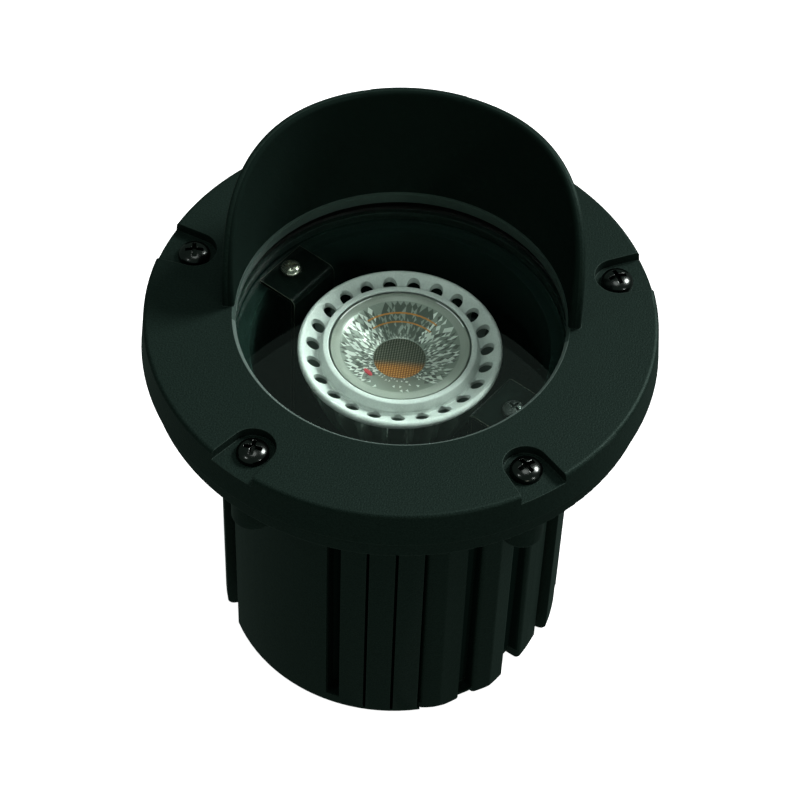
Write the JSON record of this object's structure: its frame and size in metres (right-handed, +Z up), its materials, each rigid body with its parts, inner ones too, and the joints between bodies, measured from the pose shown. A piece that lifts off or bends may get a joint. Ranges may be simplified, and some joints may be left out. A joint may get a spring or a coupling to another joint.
{
  "type": "in ground well light",
  "caption": "Round in-ground well light with a screwed cover ring, half-round glare hood, glass lens and a reflector-size LED lamp in a ribbed cast housing.",
  "frame": {"origin": "centre of the housing's underside, on the housing axis", "axes": "+Z up along the housing and lamp axis, +Y towards the rear, where the hood stands, +X to the right seen from the open front of the hood"},
  "size_m": [0.124, 0.124, 0.139],
  "materials": {
    "cast_black": "matte",
    "clear_glass": "gloss",
    "seal_rubber": "matte",
    "bracket_black": "satin",
    "plated_screw": "satin",
    "screw_black": "gloss",
    "holder_ceramic": "matte",
    "contact_brass": "satin",
    "lead_sleeve": "satin",
    "lamp_white": "satin",
    "optic_clear": "gloss",
    "board_white": "matte",
    "phosphor": "matte",
    "base_plastic": "satin",
    "driver_board": "satin",
    "pin_plated": "satin"
  },
  "bodies": {
    "housing": {"housing": "cast_black", "flange_seal": "seal_rubber", "lamp_bracket": "bracket_black", "bracket_screw_left": "plated_screw", "bracket_screw_right": "plated_screw", "lampholder": "holder_ceramic", "lampholder_contacts": "contact_brass", "lampholder_screws": "plated_screw", "entry_bush": "seal_rubber", "holder_lead_1": "lead_sleeve", "holder_lead_2": "lead_sleeve"},
    "cover": {"cover": "cast_black", "lens": "clear_glass", "lens_gasket": "seal_rubber"},
    "lamp": {"lamp_heat_sink": "lamp_white", "lamp_bezel": "lamp_white", "lamp_optic": "optic_clear", "led_board": "board_white", "led_emitter": "phosphor", "lamp_base": "base_plastic", "lamp_driver": "driver_board", "lamp_pins": "pin_plated"},
    "cover_screw_1": {"cover_screw_1": "screw_black"},
    "cover_screw_2": {"cover_screw_2": "screw_black"},
    "cover_screw_3": {"cover_screw_3": "screw_black"},
    "cover_screw_4": {"cover_screw_4": "screw_black"},
    "cover_screw_5": {"cover_screw_5": "screw_black"}
  },
  "joints": [
    {"name": "cover_lift", "type": "slide", "parent": "housing", "child": "cover", "axis": [0, 0, 1], "range_m": [0, 0.12]},
    {"name": "lamp_pull", "type": "slide", "parent": "housing", "child": "lamp", "axis": [0, 0, 1], "range_m": [0, 0.06]},
    {"name": "cover_screw_1_out", "type": "slide", "parent": "cover", "child": "cover_screw_1", "axis": [0, 0, 1], "range_m": [0, 0.02]},
    {"name": "cover_screw_2_out", "type": "slide", "parent": "cover", "child": "cover_screw_2", "axis": [0, 0, 1], "range_m": [0, 0.02]},
    {"name": "cover_screw_3_out", "type": "slide", "parent": "cover", "child": "cover_screw_3", "axis": [0, 0, 1], "range_m": [0, 0.02]},
    {"name": "cover_screw_4_out", "type": "slide", "parent": "cover", "child": "cover_screw_4", "axis": [0, 0, 1], "range_m": [0, 0.02]},
    {"name": "cover_screw_5_out", "type": "slide", "parent": "cover", "child": "cover_screw_5", "axis": [0, 0, 1], "range_m": [0, 0.02]}
  ],
  "couplings": [
    {"joint": "lamp_pull", "follows": "cover_lift", "ratio": 0.5}
  ]
}
